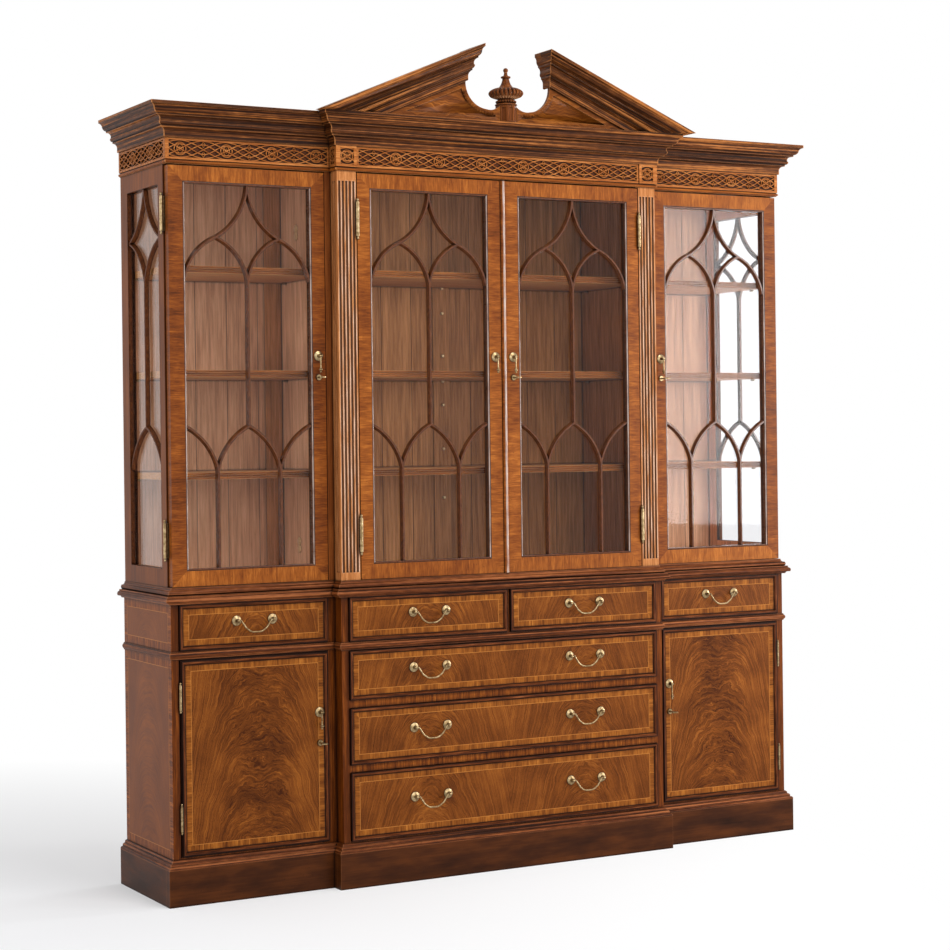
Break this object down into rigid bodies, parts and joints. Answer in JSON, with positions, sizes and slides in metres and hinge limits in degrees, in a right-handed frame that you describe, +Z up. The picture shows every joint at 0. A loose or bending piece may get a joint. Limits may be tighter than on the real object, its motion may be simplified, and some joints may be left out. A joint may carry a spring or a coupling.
{
  "type": "display cabinet",
  "caption": "Breakfront display cabinet: glazed doors over drawers and cupboards, with a broken pediment, a finial, swan-neck bails, drop pulls and keys.",
  "frame": {"origin": "on the floor, at the middle of the width and of the depth", "axes": "+X to the right as seen from the room, +Y to the wall, +Z up"},
  "size_m": [2.116, 0.482, 2.303],
  "materials": {
    "mahogany": "satin polish",
    "dark_mahogany": "satin polish",
    "flame_mahogany": "polished figured veneer",
    "cross_veneer": "polished cross-grain veneer",
    "clear_glass": "clear",
    "aged_brass": "aged, polished"
  },
  "bodies": {
    "cabinet": {"plinth": "dark_mahogany", "base_case": "mahogany", "case_mouldings": "dark_mahogany", "upper_case": "mahogany", "shelves": "mahogany", "cornice": "dark_mahogany", "pediment": "dark_mahogany", "side_glass": "clear_glass", "case_brass": "aged_brass"},
    "left_drawer": {"left_drawer": "flame_mahogany", "left_drawer_rosettes": "aged_brass"},
    "left_drawer_bail": {"left_drawer_bail": "aged_brass"},
    "half_drawer_left": {"half_drawer_left": "flame_mahogany", "half_drawer_left_rosettes": "aged_brass"},
    "half_drawer_left_bail": {"half_drawer_left_bail": "aged_brass"},
    "half_drawer_right": {"half_drawer_right": "flame_mahogany", "half_drawer_right_rosettes": "aged_brass"},
    "half_drawer_right_bail": {"half_drawer_right_bail": "aged_brass"},
    "right_drawer": {"right_drawer": "flame_mahogany", "right_drawer_rosettes": "aged_brass"},
    "right_drawer_bail": {"right_drawer_bail": "aged_brass"},
    "wide_drawer_upper": {"wide_drawer_upper": "flame_mahogany", "wide_drawer_upper_rosettes": "aged_brass"},
    "wide_drawer_upper_bail_left": {"wide_drawer_upper_bail_left": "aged_brass"},
    "wide_drawer_upper_bail_right": {"wide_drawer_upper_bail_right": "aged_brass"},
    "wide_drawer_middle": {"wide_drawer_middle": "flame_mahogany", "wide_drawer_middle_rosettes": "aged_brass"},
    "wide_drawer_middle_bail_left": {"wide_drawer_middle_bail_left": "aged_brass"},
    "wide_drawer_middle_bail_right": {"wide_drawer_middle_bail_right": "aged_brass"},
    "wide_drawer_lower": {"wide_drawer_lower": "flame_mahogany", "wide_drawer_lower_rosettes": "aged_brass"},
    "wide_drawer_lower_bail_left": {"wide_drawer_lower_bail_left": "aged_brass"},
    "wide_drawer_lower_bail_right": {"wide_drawer_lower_bail_right": "aged_brass"},
    "left_glazed_door": {"left_glazed_door": "cross_veneer", "left_glazed_door_glass": "clear_glass", "left_glazed_door_brass": "aged_brass"},
    "left_glazed_door_drop": {"left_glazed_door_drop": "aged_brass"},
    "left_glazed_door_key": {"left_glazed_door_key": "aged_brass"},
    "centre_left_glazed_door": {"centre_left_glazed_door": "cross_veneer", "centre_left_glazed_door_glass": "clear_glass", "centre_left_glazed_door_brass": "aged_brass"},
    "centre_left_glazed_door_drop": {"centre_left_glazed_door_drop": "aged_brass"},
    "centre_right_glazed_door": {"centre_right_glazed_door": "cross_veneer", "centre_right_glazed_door_glass": "clear_glass", "centre_right_glazed_door_brass": "aged_brass"},
    "centre_right_glazed_door_drop": {"centre_right_glazed_door_drop": "aged_brass"},
    "centre_right_glazed_door_key": {"centre_right_glazed_door_key": "aged_brass"},
    "right_glazed_door": {"right_glazed_door": "cross_veneer", "right_glazed_door_glass": "clear_glass", "right_glazed_door_brass": "aged_brass"},
    "right_glazed_door_drop": {"right_glazed_door_drop": "aged_brass"},
    "right_glazed_door_key": {"right_glazed_door_key": "aged_brass"},
    "left_cupboard_door": {"left_cupboard_door": "flame_mahogany", "left_cupboard_door_brass": "aged_brass"},
    "left_cupboard_door_drop": {"left_cupboard_door_drop": "aged_brass"},
    "left_cupboard_door_key": {"left_cupboard_door_key": "aged_brass"},
    "right_cupboard_door": {"right_cupboard_door": "flame_mahogany", "right_cupboard_door_brass": "aged_brass"},
    "right_cupboard_door_drop": {"right_cupboard_door_drop": "aged_brass"},
    "right_cupboard_door_key": {"right_cupboard_door_key": "aged_brass"}
  },
  "joints": [
    {"name": "left_drawer_slide", "type": "slide", "parent": "cabinet", "child": "left_drawer", "axis": [0, -1, 0], "range_m": [0, 0.22]},
    {"name": "left_drawer_bail_swing", "type": "hinge", "parent": "left_drawer", "child": "left_drawer_bail", "pos_m": [-0.763, -0.122, 0.737], "axis": [-1, 0, 0], "range_deg": [0, 85]},
    {"name": "half_drawer_left_slide", "type": "slide", "parent": "cabinet", "child": "half_drawer_left", "axis": [0, -1, 0], "range_m": [0, 0.25]},
    {"name": "half_drawer_left_bail_swing", "type": "hinge", "parent": "half_drawer_left", "child": "half_drawer_left_bail", "pos_m": [-0.2535, -0.161, 0.737], "axis": [-1, 0, 0], "range_deg": [0, 85]},
    {"name": "half_drawer_right_slide", "type": "slide", "parent": "cabinet", "child": "half_drawer_right", "axis": [0, -1, 0], "range_m": [0, 0.25]},
    {"name": "half_drawer_right_bail_swing", "type": "hinge", "parent": "half_drawer_right", "child": "half_drawer_right_bail", "pos_m": [0.2535, -0.161, 0.737], "axis": [-1, 0, 0], "range_deg": [0, 85]},
    {"name": "right_drawer_slide", "type": "slide", "parent": "cabinet", "child": "right_drawer", "axis": [0, -1, 0], "range_m": [0, 0.22]},
    {"name": "right_drawer_bail_swing", "type": "hinge", "parent": "right_drawer", "child": "right_drawer_bail", "pos_m": [0.763, -0.122, 0.737], "axis": [-1, 0, 0], "range_deg": [0, 85]},
    {"name": "wide_drawer_upper_slide", "type": "slide", "parent": "cabinet", "child": "wide_drawer_upper", "axis": [0, -1, 0], "range_m": [0, 0.25]},
    {"name": "wide_drawer_upper_bail_left_swing", "type": "hinge", "parent": "wide_drawer_upper", "child": "wide_drawer_upper_bail_left", "pos_m": [-0.2535, -0.161, 0.585], "axis": [-1, 0, 0], "range_deg": [0, 85]},
    {"name": "wide_drawer_upper_bail_right_swing", "type": "hinge", "parent": "wide_drawer_upper", "child": "wide_drawer_upper_bail_right", "pos_m": [0.2535, -0.161, 0.585], "axis": [-1, 0, 0], "range_deg": [0, 85]},
    {"name": "wide_drawer_middle_slide", "type": "slide", "parent": "cabinet", "child": "wide_drawer_middle", "axis": [0, -1, 0], "range_m": [0, 0.25]},
    {"name": "wide_drawer_middle_bail_left_swing", "type": "hinge", "parent": "wide_drawer_middle", "child": "wide_drawer_middle_bail_left", "pos_m": [-0.2535, -0.161, 0.419], "axis": [-1, 0, 0], "range_deg": [0, 85]},
    {"name": "wide_drawer_middle_bail_right_swing", "type": "hinge", "parent": "wide_drawer_middle", "child": "wide_drawer_middle_bail_right", "pos_m": [0.2535, -0.161, 0.419], "axis": [-1, 0, 0], "range_deg": [0, 85]},
    {"name": "wide_drawer_lower_slide", "type": "slide", "parent": "cabinet", "child": "wide_drawer_lower", "axis": [0, -1, 0], "range_m": [0, 0.25]},
    {"name": "wide_drawer_lower_bail_left_swing", "type": "hinge", "parent": "wide_drawer_lower", "child": "wide_drawer_lower_bail_left", "pos_m": [-0.2535, -0.161, 0.2285], "axis": [-1, 0, 0], "range_deg": [0, 85]},
    {"name": "wide_drawer_lower_bail_right_swing", "type": "hinge", "parent": "wide_drawer_lower", "child": "wide_drawer_lower_bail_right", "pos_m": [0.2535, -0.161, 0.2285], "axis": [-1, 0, 0], "range_deg": [0, 85]},
    {"name": "left_glazed_door_hinge", "type": "hinge", "parent": "cabinet", "child": "left_glazed_door", "pos_m": [-1.0014, -0.076, 1.3835], "axis": [0, 0, -1], "range_deg": [0, 100]},
    {"name": "left_glazed_door_drop_swing", "type": "hinge", "parent": "left_glazed_door", "child": "left_glazed_door_drop", "pos_m": [-0.5625, -0.116, 1.441], "axis": [-1, 0, 0], "range_deg": [0, 80]},
    {"name": "left_glazed_door_key_turn", "type": "hinge", "parent": "left_glazed_door", "child": "left_glazed_door_key", "pos_m": [-0.5625, -0.101, 1.383], "axis": [0, -1, 0], "range_deg": [0, 180]},
    {"name": "centre_left_glazed_door_hinge", "type": "hinge", "parent": "cabinet", "child": "centre_left_glazed_door", "pos_m": [-0.4605, -0.1454, 1.3835], "axis": [0, 0, -1], "range_deg": [0, 100]},
    {"name": "centre_left_glazed_door_drop_swing", "type": "hinge", "parent": "centre_left_glazed_door", "child": "centre_left_glazed_door_drop", "pos_m": [-0.029, -0.155, 1.441], "axis": [-1, 0, 0], "range_deg": [0, 80]},
    {"name": "centre_right_glazed_door_hinge", "type": "hinge", "parent": "cabinet", "child": "centre_right_glazed_door", "pos_m": [0.4605, -0.1454, 1.3835], "axis": [0, 0, 1], "range_deg": [0, 100]},
    {"name": "centre_right_glazed_door_drop_swing", "type": "hinge", "parent": "centre_right_glazed_door", "child": "centre_right_glazed_door_drop", "pos_m": [0.029, -0.155, 1.441], "axis": [-1, 0, 0], "range_deg": [0, 80]},
    {"name": "centre_right_glazed_door_key_turn", "type": "hinge", "parent": "centre_right_glazed_door", "child": "centre_right_glazed_door_key", "pos_m": [0.029, -0.14, 1.383], "axis": [0, -1, 0], "range_deg": [0, 180]},
    {"name": "right_glazed_door_hinge", "type": "hinge", "parent": "cabinet", "child": "right_glazed_door", "pos_m": [1.0014, -0.076, 1.3835], "axis": [0, 0, 1], "range_deg": [0, 100]},
    {"name": "right_glazed_door_drop_swing", "type": "hinge", "parent": "right_glazed_door", "child": "right_glazed_door_drop", "pos_m": [0.5625, -0.116, 1.441], "axis": [-1, 0, 0], "range_deg": [0, 80]},
    {"name": "right_glazed_door_key_turn", "type": "hinge", "parent": "right_glazed_door", "child": "right_glazed_door_key", "pos_m": [0.5625, -0.101, 1.383], "axis": [0, -1, 0], "range_deg": [0, 180]},
    {"name": "left_cupboard_door_hinge", "type": "hinge", "parent": "cabinet", "child": "left_cupboard_door", "pos_m": [-0.9775, -0.1108, 0.3845], "axis": [0, 0, -1], "range_deg": [0, 100]},
    {"name": "left_cupboard_door_drop_swing", "type": "hinge", "parent": "left_cupboard_door", "child": "left_cupboard_door_drop", "pos_m": [-0.5746, -0.122, 0.477], "axis": [-1, 0, 0], "range_deg": [0, 80]},
    {"name": "left_cupboard_door_key_turn", "type": "hinge", "parent": "left_cupboard_door", "child": "left_cupboard_door_key", "pos_m": [-0.5746, -0.107, 0.394], "axis": [0, -1, 0], "range_deg": [0, 180]},
    {"name": "right_cupboard_door_hinge", "type": "hinge", "parent": "cabinet", "child": "right_cupboard_door", "pos_m": [0.9775, -0.1108, 0.3845], "axis": [0, 0, 1], "range_deg": [0, 100]},
    {"name": "right_cupboard_door_drop_swing", "type": "hinge", "parent": "right_cupboard_door", "child": "right_cupboard_door_drop", "pos_m": [0.5746, -0.122, 0.477], "axis": [-1, 0, 0], "range_deg": [0, 80]},
    {"name": "right_cupboard_door_key_turn", "type": "hinge", "parent": "right_cupboard_door", "child": "right_cupboard_door_key", "pos_m": [0.5746, -0.107, 0.394], "axis": [0, -1, 0], "range_deg": [0, 180]}
  ]
}
